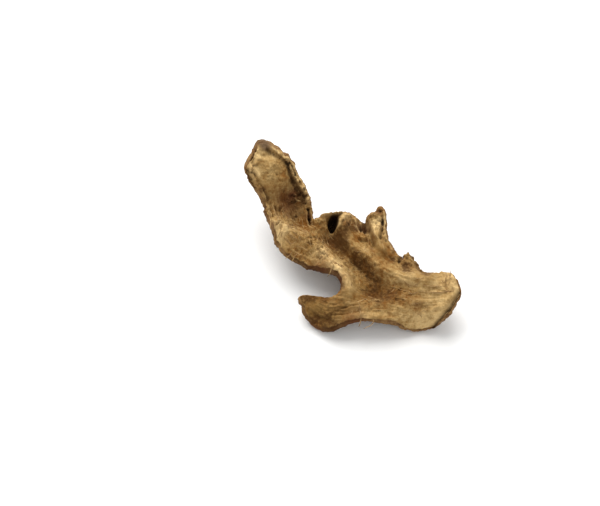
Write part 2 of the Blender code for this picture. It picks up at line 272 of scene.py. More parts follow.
def wrinkles(xy, across, along, level):
    radius, turn = growthLines(xy)
    run = radius.mean() * np.radians(turn)
    return lumps(np.column_stack([radius / across, run / along]), 1, level)


# Where the fibres run on the cut face: place and direction in degrees.
fibreRuns = np.array((
    (-19.8, 40.5, -80), (-18, 35.6, -62), (-15.2, 29, -76), (-16.8, 23.4, -62), (-11.6, 25, -70),
    (-11.4, 20.6, -28), (-8.2, 22, -40), (-4.8, 16.5, -47), (-1.5, 11.4, -58), (-9.4, 5.9, -38),
    (-4.8, 3.7, -10), (-0.4, 4.6, 8), (-0.6, 7.6, -20), (4.6, 4.6, 2), (10.6, 6.6, -2), (17, 7.6, 2),
    (21.8, 11.6, -72), (16, 2.6, 10), (-1.6, 23.6, -62), (0.6, 19.9, -50), (3, 17.8, -40),
    (7.4, 15.2, -38), (10.8, 12.4, -20), (15.2, 10.6, -8), (4.8, 23.6, -76), (6.3, 19, -64),
    (8.4, 16.2, -48), (-3.6, 19.4, -45), (1, 15.4, -44), (5.2, 11.6, -38), (8.8, 9, -16),
))
fibreReach = 2.6
farShare = 1e-6  # gives a direction to places far from all of these
trackStep = 0.15
trackSteps = 10
smearSpread = 0.55  # evens out the strength of the smeared noise


def fibreWay(xy):
    away = np.hypot(*(xy[:, None, :] - fibreRuns[:, :2]).transpose(2, 0, 1))
    share = hill(away, fibreReach) + farShare / (1 + away)
    turn = np.radians(fibreRuns[:, 2])
    way = share @ np.column_stack([np.cos(turn), np.sin(turn)])
    return way / np.linalg.norm(way, axis=1)[:, None]


def fibreTracks(xy):
    # each place and those before and after it on its fibre
    tracks = [xy]
    for way in (trackStep, -trackStep):
        at = xy
        for _ in range(trackSteps):
            at = at + way * fibreWay(at)
            tracks.append(at)
    return tracks


def smeared(tracks, size, level):
    # noise drawn out along the fibres
    return sum(lumps(track, size, level) for track in tracks) / (smearSpread * math.sqrt(len(tracks)))


# Form of the slice

def sheetDepth(xy):
    x, y = xy[:, 0], xy[:, 1]
    depth = -math.tan(math.radians(ginger["leanDeg"])) * y + ginger["cupPerMm"] / 2 * x**2
    depth += ginger["fingerLiftPerMm"] / 2 * np.maximum(y - ginger["fingerRootY"], 0) ** 2
    return depth - spots(xy, curls)


def sheetNormal(xy):
    step = 0.05
    falls = [sheetDepth(xy - way) - sheetDepth(xy + way) for way in ((step, 0), (0, step))]
    normal = np.column_stack([*falls, np.full(len(xy), 2 * step)])
    return normal / np.linalg.norm(normal, axis=1)[:, None]


def rimHeight(xy, inset):
    crinkle = 1 + rimShape["crinkle"] * lumps(xy, rimShape["crinkleSize"], levels["rimCrinkles"])
    return spots(xy, rims) * crinkle * hill(inset - rimShape["inset"], rimShape["width"])


def ovals(xy, table):
    total = np.zeros(len(xy))
    for x, y, halfWidth, halfHeight, turn, height in table:
        right, up = (xy - (x, y)).T
        cos, sin = math.cos(math.radians(turn)), math.sin(math.radians(turn))
        across = (right * cos + up * sin) / halfWidth
        along = (up * cos - right * sin) / halfHeight
        total += height / (1 + np.hypot(across, along) ** ginger["ovalFirmness"])
    return total


def cutRelief(xy, inset):
    height = 0.5 * ginger["lumpHeight"] * lumps(xy, ginger["lumpSize"], levels["cutLumps"])
    height += ginger["wrinkleHeight"] * wrinkles(xy, *ginger["wrinkleSize"], levels["cutWrinkles"])
    height += rimHeight(xy, inset) + ovals(xy, swellings)
    return height - lines(xy, clefts) - ovals(xy, hollows)


def skinRelief(xy, inset):
    swell = np.sin(np.clip(inset / ginger["swellWidth"], 0, 1) * math.pi / 2)
    wave = 0.5 + 0.5 * np.cos(2 * math.pi * growthLines(xy)[1] / ginger["ringEveryDeg"])
    own = ginger["lumpHeight"] * lumps(xy, ginger["lumpSize"], levels["skinLumps"])
    own += spots(xy, skinLumps)
    own += ginger["ringHeight"] * (wave ** ginger["ringSharpness"] - ginger["ringBase"])
    own += ginger["wrinkleHeight"] * wrinkles(xy, *ginger["wrinkleSize"], levels["skinWrinkles"])
    out = np.hypot(*(xy - ginger["scarCentre"]).T)
    lipWidth = ginger["scarLipWidth"] * ginger["scarRadius"]
    own += ginger["scarLip"] * hill(out - ginger["scarRadius"], lipWidth)
    own -= ginger["scarDepth"] * hill(out, ginger["scarBowl"] * ginger["scarRadius"])
    thick = ginger["edgeThick"] + spots(xy, thinEdges)
    thick += ginger["edgeUneven"] * lumps(xy, ginger["lumpSize"], levels["edgeLumps"])
    return thick + swell * (ginger["bodyThick"] - ginger["edgeThick"] + own)


# Fine relief, which only the looks need

fine = {
    "raggedness": 0.3,  # how far the edge wanders
    "raggedReach": 0.9,  # how far in from the edge that shows
    "raggedShares": (0.35, 1.1),  # what is always there, and what comes and goes
    "wallReach": 0.3, "wallBulge": 0.26,
    "wallGroove": 0.5,  # the groove between the flesh and the skin, also darkened with painted shade
    "grooveAt": 0.78,  # how far up the wall it runs
    "grooveWander": 0.06, "grooveWidth": 0.08, "grooveOpen": (-0.35, 0.1),
    "fleshFrom": 0.4,  # how far up the wall the flesh's relief begins
    "skinTo": 0.9,  # and where the skin's ends
    "skinReliefAt": (-0.2, 0.8),
    "strandWander": 0.12, "strandPower": 10,
    "crackAt": 0.4,  # strength of the bundles where layers part
    "crackWidth": 0.2, "smallPits": 0.7,
    "leastRough": 0.3, "mostRough": 1.2, "mostPitted": 1.3,
    "lipShares": (0.8, 0.7), "scratchShares": (0.9, 0.5),
    "crustAt": 0.8,  # how high the rim is where it is all crust
    "crustOnLips": 0.5, "crustGaps": (0.05, 0.5),
    "creasePower": 8, "furrowSunk": (0.1, 0.9),
    "ringWidth": 0.07,  # share of the way to the next ring
    "smallRings": 0.6, "smallWidth": 0.06, "smallPerRing": 2.3,
    "flakesAt": (0.1, 0.2),
    "hollowsAt": (0.6, 2.4),  # depths from which a hollow is darkened with painted shade
    # how strongly clefts and hollows are darkened with painted shade
    "cleftDark": 0.8, "hollowDark": 1.6,
}

# What each feature adds to the height and to the painted shade in its pits, cracks, gaps, furrows and
# creases.
cutFeatures = {
    "fibre": (0.06, 0), "bundle": (0.08, 0), "strand": (0.14, 0), "bump": (1, 0), "lip": (1, 0),
    "scratch": (-1, 1.5), "crack": (-0.16, 0.5), "pit": (-0.34, 0.8), "crumb": (0.85, 0),
    "gap": (0, 1.3),
}
skinFeatures = {
    "furrow": (0.2, 0), "furrowBed": (0, 0.7), "crease": (-0.35, 0.9), "hole": (-0.3, 1),
    "ring": (0.35, 0), "flake": (0.12, 0), "grit": (0.1, 0),
}

# Patterns in the noise: the size of their lumps, their level and, for patches, the
# values where they begin and where they are full.
grain = {
    "fibre": (0.28, 13.1), "bundle": (0.8, 14.7), "strand": (1.4, 15.1), "broken": (0.9, 18.3),
    "pitted": (3, 10.1, 0.5, -0.3), "pits": (0.85, 11.3, -0.1, -0.5),
    "smallPits": (0.45, 12.9, -0.15, -0.5), "groove": (2.4, 41.3), "grooveParts": (3.4, 42.7),
    "raggedParts": (4.6, 45.1, -0.2, 0.35), "rings": (5, 33.1, -0.45, 0.1),
    "smallRings": (3.6, 34.9, 0, 0.3), "skinHoles": (1.1, 39.9, 0.4, 0.6), "skinGrit": (0.6, 40.7),
}

# Patterns of several sizes: size, level and share of each.
crumbs = ((0.85, 21.3, 1), (0.425, 22.9, 0.6))
raggedEdge = ((1.3, 43.9, 1), (0.585, 44.3, 0.7))
ringWander = ((2.4, 31.7, 1.1), (0.8, 32.3, 0.35))
flakes = ((2.1, 37.1, 1), (0.6, 38.3, 0.35))

# Bumps of the cut face: size and level, height everywhere and height where it is rough.
bumps = (((1.2, 16.1), (0.15, 0.25)), ((0.5, 17.7), (0.08, 0.16)))

# Furrows and creases of the skin: width, length, level and, for furrows, share.
furrows = ((0.55, 4.5, 35.3, 1), (0.3, 2.6, 36.7, 0.6))
creases = (1.3, 3.4, 30.3)

# Waves of the wall: their size along it, how many there are up it, their height.
wallWaves = ((3, 7, 0.16), (1.1, 2.4, 0.16), (1.1 / 2.3, 2.4 * 2.3, 0.1))

# How far up the wall each look begins, and where it is full.
upTheWall = {
    "skin": (0.6, 0.1), "cutFace": (0.86, 0.99), "dents": (0.55, 0.95), "clefts": (0.4, 0.8),
}

# Thin lips and strands on the cut face: the line of each, its half width and its height.
lips = {
    "ropeInner": (
        ((-17.6, 40.9), (-15.4, 39.1), (-14.1, 37.5), (-13.5, 35.4), (-12.4, 33.7), (-11.2, 32),
         (-10.4, 30.4), (-9.9, 28.6)), 0.36, 0.95,
    ),
    "ropeOuter": (
        ((-15.4, 39.8), (-13.5, 37.9), (-12.8, 35.9), (-11.7, 34.1), (-10.8, 32.1), (-10, 30.4),
         (-9.4, 28.6)), 0.3, 0.75,
    ),
    "padStrand": (
        ((-21.8, 39), (-22.4, 37.4), (-22.4, 35.6), (-21.6, 33.6), (-20.4, 31.8), (-19.4, 30),
         (-18.8, 28.2)), 0.22, 0.55,
    ),
    "knobCrown": (((-2.9, 22.8), (-2.85, 24.3), (-1.9, 25.1), (-0.4, 25.1)), 0.4, 1),
    "knobLip": (((-0.2, 25.2), (0.8, 24.3), (1.1, 23.1), (1.7, 22)), 0.3, 0.7),
    "hollowLeft": (((-6.4, 25.6), (-5.7, 24.4), (-5.5, 22.8)), 0.35, 0.4),
    "neckStrandA": (((-18.6, 27.8), (-18.1, 25.4), (-17.6, 23), (-16.9, 20.4)), 0.2, 0.7),
    "neckStrandB": (((-17.5, 28), (-17.2, 25.8), (-16.9, 23.4), (-16.2, 20.6)), 0.18, 0.65),
    "neckStrandC": (((-16.5, 27.5), (-16.2, 25.2), (-16, 22.8)), 0.16, 0.5),
    "neckStrandD": (((-15.4, 27), (-15.2, 24.9), (-14.6, 23)), 0.16, 0.4),
    "padFoot": (((-18.7, 31.8), (-17.6, 31.3), (-16.4, 31.5), (-15.2, 32.3)), 0.3, 0.3),
    "hollowStrand": (((-6.4, 25.6), (-5, 26), (-3.4, 26.25), (-2.2, 25.9)), 0.3, 1.6),
    "slitLeft": (((-9.95, 27.2), (-9.95, 25.1), (-9.55, 23.5)), 0.22, 0.55),
    "slitRight": (((-8.95, 27.7), (-8.8, 25.7), (-8.85, 23.8)), 0.22, 0.55),
    "slitKnot": (((-9.3, 23.2), (-8.8, 22.8), (-8.3, 23)), 0.3, 0.5),
    "shoulderCrest": (((4.5, 25.4), (4.7, 22.9), (5.2, 20.6)), 0.35, 0.5),
    "shoulderEdge": (((7.1, 26.4), (7.35, 24), (7.2, 21.2), (7.9, 19.3), (8.9, 17.8)), 0.35, 0.6),
    "bayLip": (((-11.6, 16.7), (-7.6, 14.9), (-4, 13.3), (-2.5, 11.6), (-2.1, 9.9)), 0.45, 0.3),
    "bottomLip": (((-3.4, 2.7), (2, 3.6), (8.2, 3.2), (11.6, 1.9)), 0.6, 0.3),
    "notchStrand": (((2, 23.9), (2.2, 22.9), (2.4, 21.8)), 0.2, 0.7),
    "footLine": (((-2.2, 4.6), (-0.2, 5.2), (1, 5.2)), 0.2, 0.25),
    "shoulderStreakA": (((4.1, 24.4), (4.4, 22.6), (5, 20.8)), 0.2, 0.4),
    "shoulderStreakB": (((5.5, 24.9), (5.7, 22.9), (6, 21)), 0.2, 0.4),
    "ridgeCurl": (((-7.8, 20), (-7.3, 19.5), (-6.5, 19.3)), 0.2, 0.6),
    "crumbA": (((-13.3, 31), (-12.8, 30.4), (-12.2, 30.3)), 0.22, 0.6),
    "crumbB": (((-12.4, 29.6), (-11.9, 29.1), (-11.2, 29)), 0.22, 0.6),
    "crumbC": (((-12, 31.6), (-11.6, 30.9)), 0.2, 0.5),
    "crumbD": (((0, 23.6), (0.6, 23.1), (1.2, 22.6)), 0.2, 0.5),
    "crumbE": (((-7.9, 24.6), (-7.2, 24.9), (-6.5, 24.4)), 0.22, 0.45),
    "crumbF": (((-7.6, 23.4), (-6.9, 23), (-6.3, 23.3)), 0.2, 0.35),
}

# Cracks and grooves: the line of each, its half width and its depth. Each is also darkened with painted
# shade.
scratches = {
    "padGroove": (
        ((-21.5, 38.8), (-22, 37.2), (-22, 35.4), (-21.1, 33.4), (-19.9, 31.5), (-18.9, 29.8),
         (-18.4, 28)), 0.28, 0.45,
    ),
    "padEdgeGroove": (
        ((-22.6, 38.6), (-22.9, 37), (-22.85, 35.2), (-22.1, 33.4), (-21.1, 31.7)), 0.17, 0.65,
    ),
    "ropeGroove": (
        ((-14.9, 38.8), (-13.4, 36.8), (-12.8, 34.9), (-11.6, 33.2), (-10.8, 31.4),
         (-10.1, 29.6)), 0.16, 0.45,
    ),
    "neckGroove": (((-18.1, 28), (-17.8, 26.2), (-17.6, 24.2)), 0.18, 0.45),
    "neckCrackA": (((-17, 27.6), (-16.7, 25.6), (-16.5, 24)), 0.16, 0.35),
    "neckCrackB": (((-15.9, 27.6), (-15.8, 25.6), (-15.3, 23.8)), 0.16, 0.3),
    "padCrease": (((-18.4, 31), (-17.4, 30.6), (-16.2, 30.9), (-15, 31.7)), 0.3, 0.25),
    "tipCrease": (((-20.8, 39.4), (-19.6, 39), (-18.2, 39.3)), 0.35, 0.45),
    "valleyEdge": (((-6, 21.2), (-4.5, 19.4), (-2.5, 17.1), (-0.5, 14.6), (0.8, 12.2)), 0.35, 0.3),
    "valleyCrackA": (((-3.8, 20.3), (-2.4, 17.8), (-1.7, 16.3)), 0.2, 0.3),
    "valleyCrackB": (((0, 16.9), (1, 15.3), (2.6, 13.9)), 0.3, 0.45),
    "valleyCrackC": (((3, 13.3), (4, 12.1), (6, 11.4)), 0.25, 0.4),
    "ridgeCrackA": (((-7.9, 17.7), (-5.4, 15.4), (-3.6, 13.6)), 0.16, 0.22),
    "ridgeCrackB": (((-5.8, 18.3), (-3.8, 15.9), (-2.3, 13.7)), 0.16, 0.22),
    "bodyCrackA": (((9.4, 8.4), (11.2, 8), (14.9, 8.2)), 0.2, 0.26),
    "bodyCrackB": (((12.8, 6.6), (15, 5.6), (17.6, 5.6)), 0.22, 0.15),
    "footCrackA": (((-2.4, 5), (0, 5.4), (1.6, 5.7)), 0.16, 0.4),
    "footCrackD": (((-5.2, 3.6), (-3, 3.7), (-1, 3.8)), 0.16, 0.3),
    "shoulderFold": (((8.2, 16.4), (9.2, 15.7), (10.4, 15.4)), 0.35, 0.35),
    "bumpRing": (((3.6, 21.2), (3.3, 20.1), (2.4, 19.8), (1.5, 20.2)), 0.2, 0.45),
    "lobeEdge": (((3.5, 24.4), (3.8, 22.6), (4.2, 20.9), (4.8, 19.3)), 0.22, 0.5),
    "sideGroove": (((7, 21.2), (7.5, 19.8), (8.4, 18.2), (9.5, 16.6), (10.6, 15.5)), 0.2, 0.4),
    "footCrackB": (((-9.6, 5.2), (-7.4, 3.6), (-4.6, 2.9)), 0.18, 0.24),
    "footCrackC": (((-8.9, 6.7), (-5.6, 5.6), (-2.2, 6)), 0.16, 0.2),
    "shoulderCrack": (((9.6, 17), (10.4, 14.9), (11.9, 14)), 0.2, 0.25),
    "crownGap": (((-3.7, 25.3), (-3.1, 25.7), (-2.3, 25.7)), 0.3, 0.9),
    "knobGroove": (((-2.1, 23.4), (-1.3, 24), (-0.2, 24.1)), 0.3, 0.4),
    "notchCrackA": (((1.7, 24.3), (1.9, 23.2), (1.9, 22.2)), 0.16, 0.3),
    "notchCrackB": (((2.9, 24.3), (3, 23.2), (2.7, 22)), 0.16, 0.3),
}

# How rough each place is: centre, reach, share.
rough = (
    (-13, 27, 4, 0.8), (-8.6, 21, 4, 0.8), (-4, 15, 4.2, 0.9), (3, 14.6, 3.2, 1), (9.5, 8.6, 4.5, 0.4),
    (15, 5.6, 4, 0.35), (2.4, 22.6, 2.6, 1), (-11.6, 31, 2.6, 1.2), (-17.5, 35, 3.5, 0.4),
    (10.5, 15.8, 2.4, 0.6), (-16.6, 22.4, 3.4, 0.6), (6, 24.5, 2.6, 0.5), (-0.4, 24.2, 1.4, 0.9),
    (0.7, 23.4, 1.2, 1), (4.4, 8.6, 3.4, 0.5), (-10.2, 16.4, 3, 0.5),
)

# Where its layers crack apart: centre, reach, share.
layered = (
    (-6.6, 4.4, 5, 0.7), (8, 11, 3.6, 0.3), (-2, 3.6, 5, 0.4), (17, 9.4, 4, 0.2),
    (-15.4, 26.4, 3.4, 0.6), (4.6, 18, 3, 0.3), (5.4, 23, 2.4, 0.6),
)

# Where the edge is clean, and where its wall is grooved: centre, reach, share.
evenEdge = (
    (-2, 2, 4, 0.8), (5, 2.7, 4.4, 0.8), (13, 0.8, 5, 0.6), (-6, 8, 3.6, 0.6), (-8, 2, 3, 0.6),
    (22.4, 6, 4, 0.6), (-10, 15.2, 3.4, 0.5),
)
grooved = ((-22.6, 35, 5, 1),)


def varied(shares, amount):
    # a share that is always there, and one that goes with the amount
    return shares[0] + shares[1] * amount


def relief(features, found):
    # height and painted shade together
    return (sum(features[name][i] * value for name, value in found.items()) for i in (0, 1))


def fleshDetail(xy, inset):
    tracks = fibreTracks(xy)
    fibre, bundle = smeared(tracks, *grain["fibre"]), smeared(tracks[::2], *grain["bundle"])
    here = spots(xy, rough)
    roughness = fine["leastRough"] + here
    pit = patches(xy, *grain["pits"]) + fine["smallPits"] * patches(xy, *grain["smallPits"])
    pit *= np.minimum(roughness, fine["mostPitted"]) * patches(xy, *grain["pitted"])
    strand = 1 - np.abs(lumps(xy, *grain["strand"]) + fine["strandWander"] * bundle)
    broken = lumps(xy, *grain["broken"])
    lip = lines(xy, lips) * varied(fine["lipShares"], broken)
    crust = np.clip(rimHeight(xy, inset) / fine["crustAt"] + fine["crustOnLips"] * lip, 0, 1)
    crumb = mixed(xy, crumbs)
    height, sunk = relief(cutFeatures, {
        "fibre": fibre, "bundle": bundle,
        "strand": strand ** fine["strandPower"],
        "bump": sum(varied(heights, roughness) * lumps(xy, *size) for size, heights in bumps),
        "lip": lip,
        "scratch": lines(xy, scratches) * varied(fine["scratchShares"], broken),
        "crack": spots(xy, layered) * hill(bundle - fine["crackAt"], fine["crackWidth"]),
        "pit": pit,
        "crumb": crust * crumb,
        "gap": crust * rise(-crumb, *fine["crustGaps"]),
    })
    return {
        "height": height, "sunk": sunk, "fibre": fibre, "bundle": bundle, "crust": crust, "lip": lip,
        "rough": np.minimum(here, fine["mostRough"]),
    }


def skinDetail(xy):
    rings = (growthLines(xy)[1] + mixed(xy, ringWander)) / ginger["ringEveryDeg"]
    ring = hill((rings + 0.5) % 1 - 0.5, fine["ringWidth"]) * patches(xy, *grain["rings"])
    small = hill((rings * fine["smallPerRing"]) % 1 - 0.5, fine["smallWidth"])
    ring += fine["smallRings"] * small * patches(xy, *grain["smallRings"])
    furrow = sum(share * wrinkles(xy, *size) for *size, share in furrows)
    flake = rise(mixed(xy, flakes), *fine["flakesAt"])
    height, sunk = relief(skinFeatures, {
        "furrow": furrow,
        "furrowBed": rise(-furrow, *fine["furrowSunk"]),
        "crease": (1 - np.abs(wrinkles(xy, *creases))) ** fine["creasePower"],
        "hole": patches(xy, *grain["skinHoles"]),
        "ring": ring, "flake": flake,
        "grit": lumps(xy, *grain["skinGrit"]),
    })
    return {"height": height, "sunk": sunk, "ring": ring, "flake": flake}


def wallDetail(xy, through):
    # how far the wall stands out, and the groove along it
    run = fine["grooveAt"] + fine["grooveWander"] * lumps(xy, *grain["groove"])
    groove = hill(through - run, fine["grooveWidth"])
    groove *= rise(lumps(xy, *grain["grooveParts"]) + spots(xy, grooved), *fine["grooveOpen"])
    push = fine["wallBulge"] * np.sin(math.pi * through)
    for size, waves, height in wallWaves:
        push += height * grainNoise(np.column_stack([xy / size, through * waves]))
    return push - fine["wallGroove"] * groove, groove


def worked(part, detail, *values):
    # the detail of those places alone, and nothing elsewhere
    spread = {}
    for name, found in detail(*(value[part] for value in values)).items():
        spread[name] = np.zeros(len(part))
        spread[name][part] = found
    return spread


def shapeSlice(flat, detailed):
    # from the flat blank to the table; also the masks that the material reads
    xy = flat[:, :2].copy()
    inset, outward = edgeOf(xy)
    through = np.clip(flat[:, 2] / ginger["slab"] + 0.5, 0, 1)
    masks = {}
    if detailed:
        onWall = hill(inset, fine["wallReach"])
        push, groove = wallDetail(xy, through)
        ragged = mixed(xy, raggedEdge) * varied(fine["raggedShares"], patches(xy, *grain["raggedParts"]))
        ragged *= (1 - spots(xy, evenEdge)) * fine["raggedness"] * hill(inset, fine["raggedReach"])
        xy += outward * (push * onWall + ragged)[:, None]
    fold = lines(xy, folds)
    cut = fold + cutRelief(xy, inset)
    skin = ginger["foldShare"] * fold - skinRelief(xy, inset)
    skin = np.minimum(skin, cut - ginger["thinWall"])
    if detailed:
        fleshSide = worked(through > fine["fleshFrom"], fleshDetail, xy, inset)
        skinSide = worked(through < fine["skinTo"], skinDetail, xy)
        share = {name: rise(through, *limits) for name, limits in upTheWall.items()}
        cut += fleshSide.pop("height")
        skin -= skinSide.pop("height") * rise(inset, *fine["skinReliefAt"])
        # sunk and the cleft mask are painted shade in pits, cracks, grooves, the wall's groove, clefts
        # and hollows
        sunk = share["dents"] * fleshSide.pop("sunk") + share["skin"] * skinSide.pop("sunk")
        deep = fine["cleftDark"] * lines(xy, clefts)
        deep += fine["hollowDark"] * rise(ovals(xy, hollows), *fine["hollowsAt"])
        # stains and painted shade on the cut face and on the skin side
        darkFlesh, darkBelow = spots(xy, fleshStainAndShadePlaces), spots(xy, skinStainAndShadePlaces)
        masks = {
            **fleshSide,
            **{name: share["skin"] * value for name, value in skinSide.items()},
            **{name: spots(xy, places) for name, places in tintTables.items()},
            "cutFace": share["cutFace"],
            "sunk": sunk + onWall * groove,
            "cleftShade": share["clefts"] * deep,
            "stainAndShade": share["cutFace"] * darkFlesh + (1 - share["cutFace"]) * darkBelow,
        }
    height = through * cut + (1 - through) * skin
    drawn = np.column_stack([xy, sheetDepth(xy)]) + height[:, None] * sheetNormal(xy)
    return drawn @ drawingAxes, masks


slope = math.radians(ginger["slopeDeg"])
upSlope = Vector((0, math.sin(slope), math.cos(slope)))
towardsEye = Vector((0, -math.cos(slope), math.sin(slope)))
drawingAxes = np.array([(1, 0, 0), upSlope, towardsEye])

# Stains and paler places: centre, reach, strength. The first table darkens the cut face and the second
# the skin side and its walls, both with real stains and with painted shade and shadow.
fleshStainAndShadePlaces = (
    (-3.6, 20.6, 1.9, 1.2), (-1.6, 18.6, 1.5, 0.7), (0.8, 16.6, 1.4, 0.9), (2.5, 15, 1.3, 0.8),
    (3.9, 13.2, 1.3, 0.7), (5.4, 11.4, 1.3, 0.45), (4.4, 9.4, 2.2, 0.6), (2.6, 8, 2, 0.35),
    (7.9, 8.2, 1.8, 0.7), (13.6, 6.4, 2.4, 0.25), (16.8, 5.6, 2, 0.15), (9.8, 7.2, 2.4, 0.3),
    (-12.1, 31.8, 0.8, 0.8), (-11.4, 30.4, 0.9, 0.8), (-10.7, 28.8, 0.9, 0.7), (-12.8, 29, 2, 0.4),
    (-12.3, 26.4, 1.8, 0.4), (-15.6, 29, 1.6, 0.25), (-20, 31.3, 0.8, 0.9), (-18.9, 29.2, 0.9, 0.9),
    (-18.4, 40, 0.8, 0.45), (-13.5, 33.8, 0.7, 0.9), (-14.3, 36.6, 0.7, 0.8), (-22.2, 34.4, 0.9, 0.4),
    (2.6, 23.3, 1.2, 0.2), (5.9, 26.4, 0.8, 0.7), (10.9, 16.3, 0.8, 0.8), (5.6, 6.8, 1.6, 0.5),
    (7.6, 16.2, 2.2, 0.3), (-8.4, 2.6, 1.8, 0.7), (-5.8, 4.2, 3, 0.3), (-14.2, 22.6, 2.4, 0.35),
    (11.6, 14.4, 1, 0.4), (-2.4, 5.4, 2.2, 0.4), (-7, 20.8, 1.6, 0.4), (8.9, 15.8, 0.9, 0.5),
    (-1.2, 21.4, 1.4, 0.5), (3.8, 22.6, 0.7, 0.5), (4.3, 20.4, 0.8, 0.5), (-5, 1.8, 2, 0.7),
    (12.2, 13.4, 2, 0.7), (16.8, 12.7, 1.6, 0.8), (-9, 8, 1.2, 0.9), (-6, 7.7, 1.2, 0.8),
    (-13.9, 35.2, 0.7, 0.8), (-15, 38, 0.7, 0.6), (-12.8, 32.8, 0.7, 0.8), (-1.4, 23.4, 1.2, 0.5),
    (-3.4, 25.5, 0.8, 0.8), (-10.7, 7.6, 1.2, 1), (14.4, 15.2, 1, 0.5), (-2.4, 9, 1.2, 0.6),
)
skinStainAndShadePlaces = (
    (-8.6, 13.6, 2.6, 0.9), (-5.4, 12.8, 2.4, 0.3), (-3, 10.4, 2, 0.7), (-4.6, 8.2, 2, 0.8),
    (-1.6, 2.2, 2.6, 0.6), (2.6, 2.6, 2.6, 0.4), (6, 2.6, 2.2, 0.3), (-12.4, 16, 2.6, 0.6),
    (-9.4, 2.6, 1.8, 0.6), (-19, 27, 2.6, 0.5), (10.4, 16.4, 1.4, 0.8), (-5, 1, 2.2, 1.1),
)
redPlaces = (
    (-12.3, 30.6, 1.4, 1), (-19.4, 40.8, 1.2, 0.4), (-14, 27.8, 2.8, 0.9), (-0.7, 23.3, 1.6, 0.7),
    (1.2, 22.9, 0.9, 0.6), (2.6, 23.2, 1.3, 1.2), (6, 26.4, 1, 1.2), (-9.4, 25.5, 0.8, 1.2),
    (-7, 13.4, 2.6, 0.8), (-3, 10.6, 1.6, 0.8), (0.5, 2.4, 3.2, 0.8), (-8, 1.6, 2, 0.6),
    (14, 6, 2.2, 0.4), (-0.6, 26, 1, 0.5), (-22.8, 36, 1.4, 0.4), (-15.8, 30.4, 2.2, 0.4),
)
olivePlaces = (
    (-8.1, 4.4, 4, 0.9), (-4.8, 3.1, 3, 0.6), (12.1, 16.2, 1.2, 0.9), (-1, 14.4, 1.8, 0.5),
    (-9.6, 18.2, 2.4, 0.6), (-18, 36.4, 3.4, 0.5), (2, 11.4, 2.2, 0.4), (15, 11.2, 3, 0.3),
    (6, 18, 2.6, 0.7), (1.5, 8.5, 2.6, 0.7), (-1.4, 5, 2.6, 0.4), (20, 9, 3, 0.3),
)
# paler places, and with a negative strength darker ones, partly real tone and partly painted shade
paleAndShadedPlaces = (
    (-6.6, 17, 2, 0.8), (-3.8, 14.3, 1.9, 1), (-1.6, 11.4, 1.9, 0.8), (-16.4, 21.5, 1.8, 2.8),
    (-13.6, 21.5, 2, -0.1), (-18.2, 35.6, 3, 0.5), (22, 12.1, 1.8, 0.9), (22.7, 9.4, 1.6, 0.8),
    (14.4, 2.6, 2.4, 1), (-13.6, 36.8, 0.9, 0.8), (-12.2, 34, 0.9, 1.1), (-11.2, 31.9, 0.8, 1),
    (19.4, 12.4, 2, 0.4), (-0.4, 20.6, 1.3, 0.3), (1.6, 18.8, 1.6, 0.5), (-1.6, 24.9, 1.1, 1.1),
    (5.5, 23.2, 1.4, 1.9), (10.6, 3.1, 3, 0.35), (16, 1.5, 2.4, 0.8), (2.3, 20.8, 0.8, 0.2),
    (-1, 8.6, 2.2, 0.5), (11, 12.8, 2.4, 0.3), (-8.5, 25, 0.8, 0.6), (-22.4, 36.6, 1, 0.7),
    (7, 24.7, 1, 1.4), (-20.7, 39.6, 0.9, 1.1), (2.6, 8, 3.4, -0.4), (10, 8, 3.4, -0.45),
    (-6.4, 4.8, 3.4, -0.25), (7, 16.4, 2.6, -0.5), (-4, 19.2, 1.8, -0.4), (-7.6, 18.9, 2.4, -0.4),
    (16.6, 10, 3, 0.3), (-16.2, 34.8, 1.8, -0.5), (-10.6, 33, 2, 0.3), (-3.4, 7, 2.4, -0.2),
    (1.4, 20.3, 1.7, -0.9), (-9.8, 24, 1.6, -0.6), (-7.5, 23.4, 1.4, -0.3), (1.5, 11.2, 1.2, -0.5),
    (-4.4, 17, 1.2, -0.4), (-13, 19.4, 1.6, -0.3), (-12, 16.4, 1.4, -0.3), (11, 10.4, 1.6, 0.5),
    (18.5, 9, 2.4, 0.4), (20.5, 5, 2.4, 0.8), (-21.6, 39.4, 1.4, 1.5), (-21.6, 35.4, 1.3, 1.4),
    (-12.9, 36.2, 1.3, 1), (23.6, 8, 1.4, 1), (-3.6, 12.7, 1.3, 0.9), (-20.3, 31.6, 1.6, -0.5),
    (-10.9, 24, 1.2, -0.6), (2.4, 3.2, 1.8, 0.7), (18, 3.5, 1.6, 0.4), (-2.9, 13.2, 1.2, 0.6),
    (-18.6, 39.3, 1.2, 0.4), (2.3, 23.2, 1.1, 1.6), (-17, 20.4, 1.2, 0.8), (1.6, 9.2, 1.6, 0.3),
    (6, 18.2, 1.6, 0.3), (-5.6, 4.4, 1.8, 0.3),
)
greyPlaces = ((-20.2, 42, 1.5, 1.1), (-18.4, 42, 1.4, 1.1), (-19, 40.4, 1, 0.5))
tintTables = {"red": redPlaces, "olive": olivePlaces, "paleAndShaded": paleAndShadedPlaces, "grey": greyPlaces}


def linked(name, data):
    obj = bpy.data.objects.new(name, data)
    bpy.context.scene.collection.objects.link(obj)
    return obj


def meshOf(name, build):
    mesh = bpy.data.meshes.new(name)
    build.to_mesh(mesh)
    build.free()
    return mesh


def shown(obj):
    # the mesh that the viewport shows; the object itself goes
    graph = bpy.context.evaluated_depsgraph_get()
    mesh = bpy.data.meshes.new_from_object(obj.evaluated_get(graph))
    bpy.data.objects.remove(obj)
    return mesh


def finished(name, mesh):
    mesh.transform(Matrix.Scale(mm, 4))
    mesh.shade_smooth()
    return linked(name, mesh)


def pointsOf(mesh):
    flat = np.empty(len(mesh.vertices) * 3, np.float32)
    mesh.vertices.foreach_get("co", flat)
    return flat.reshape(-1, 3).astype(float)


def movePoints(mesh, points):
    mesh.vertices.foreach_set("co", points.astype(np.float32).ravel())


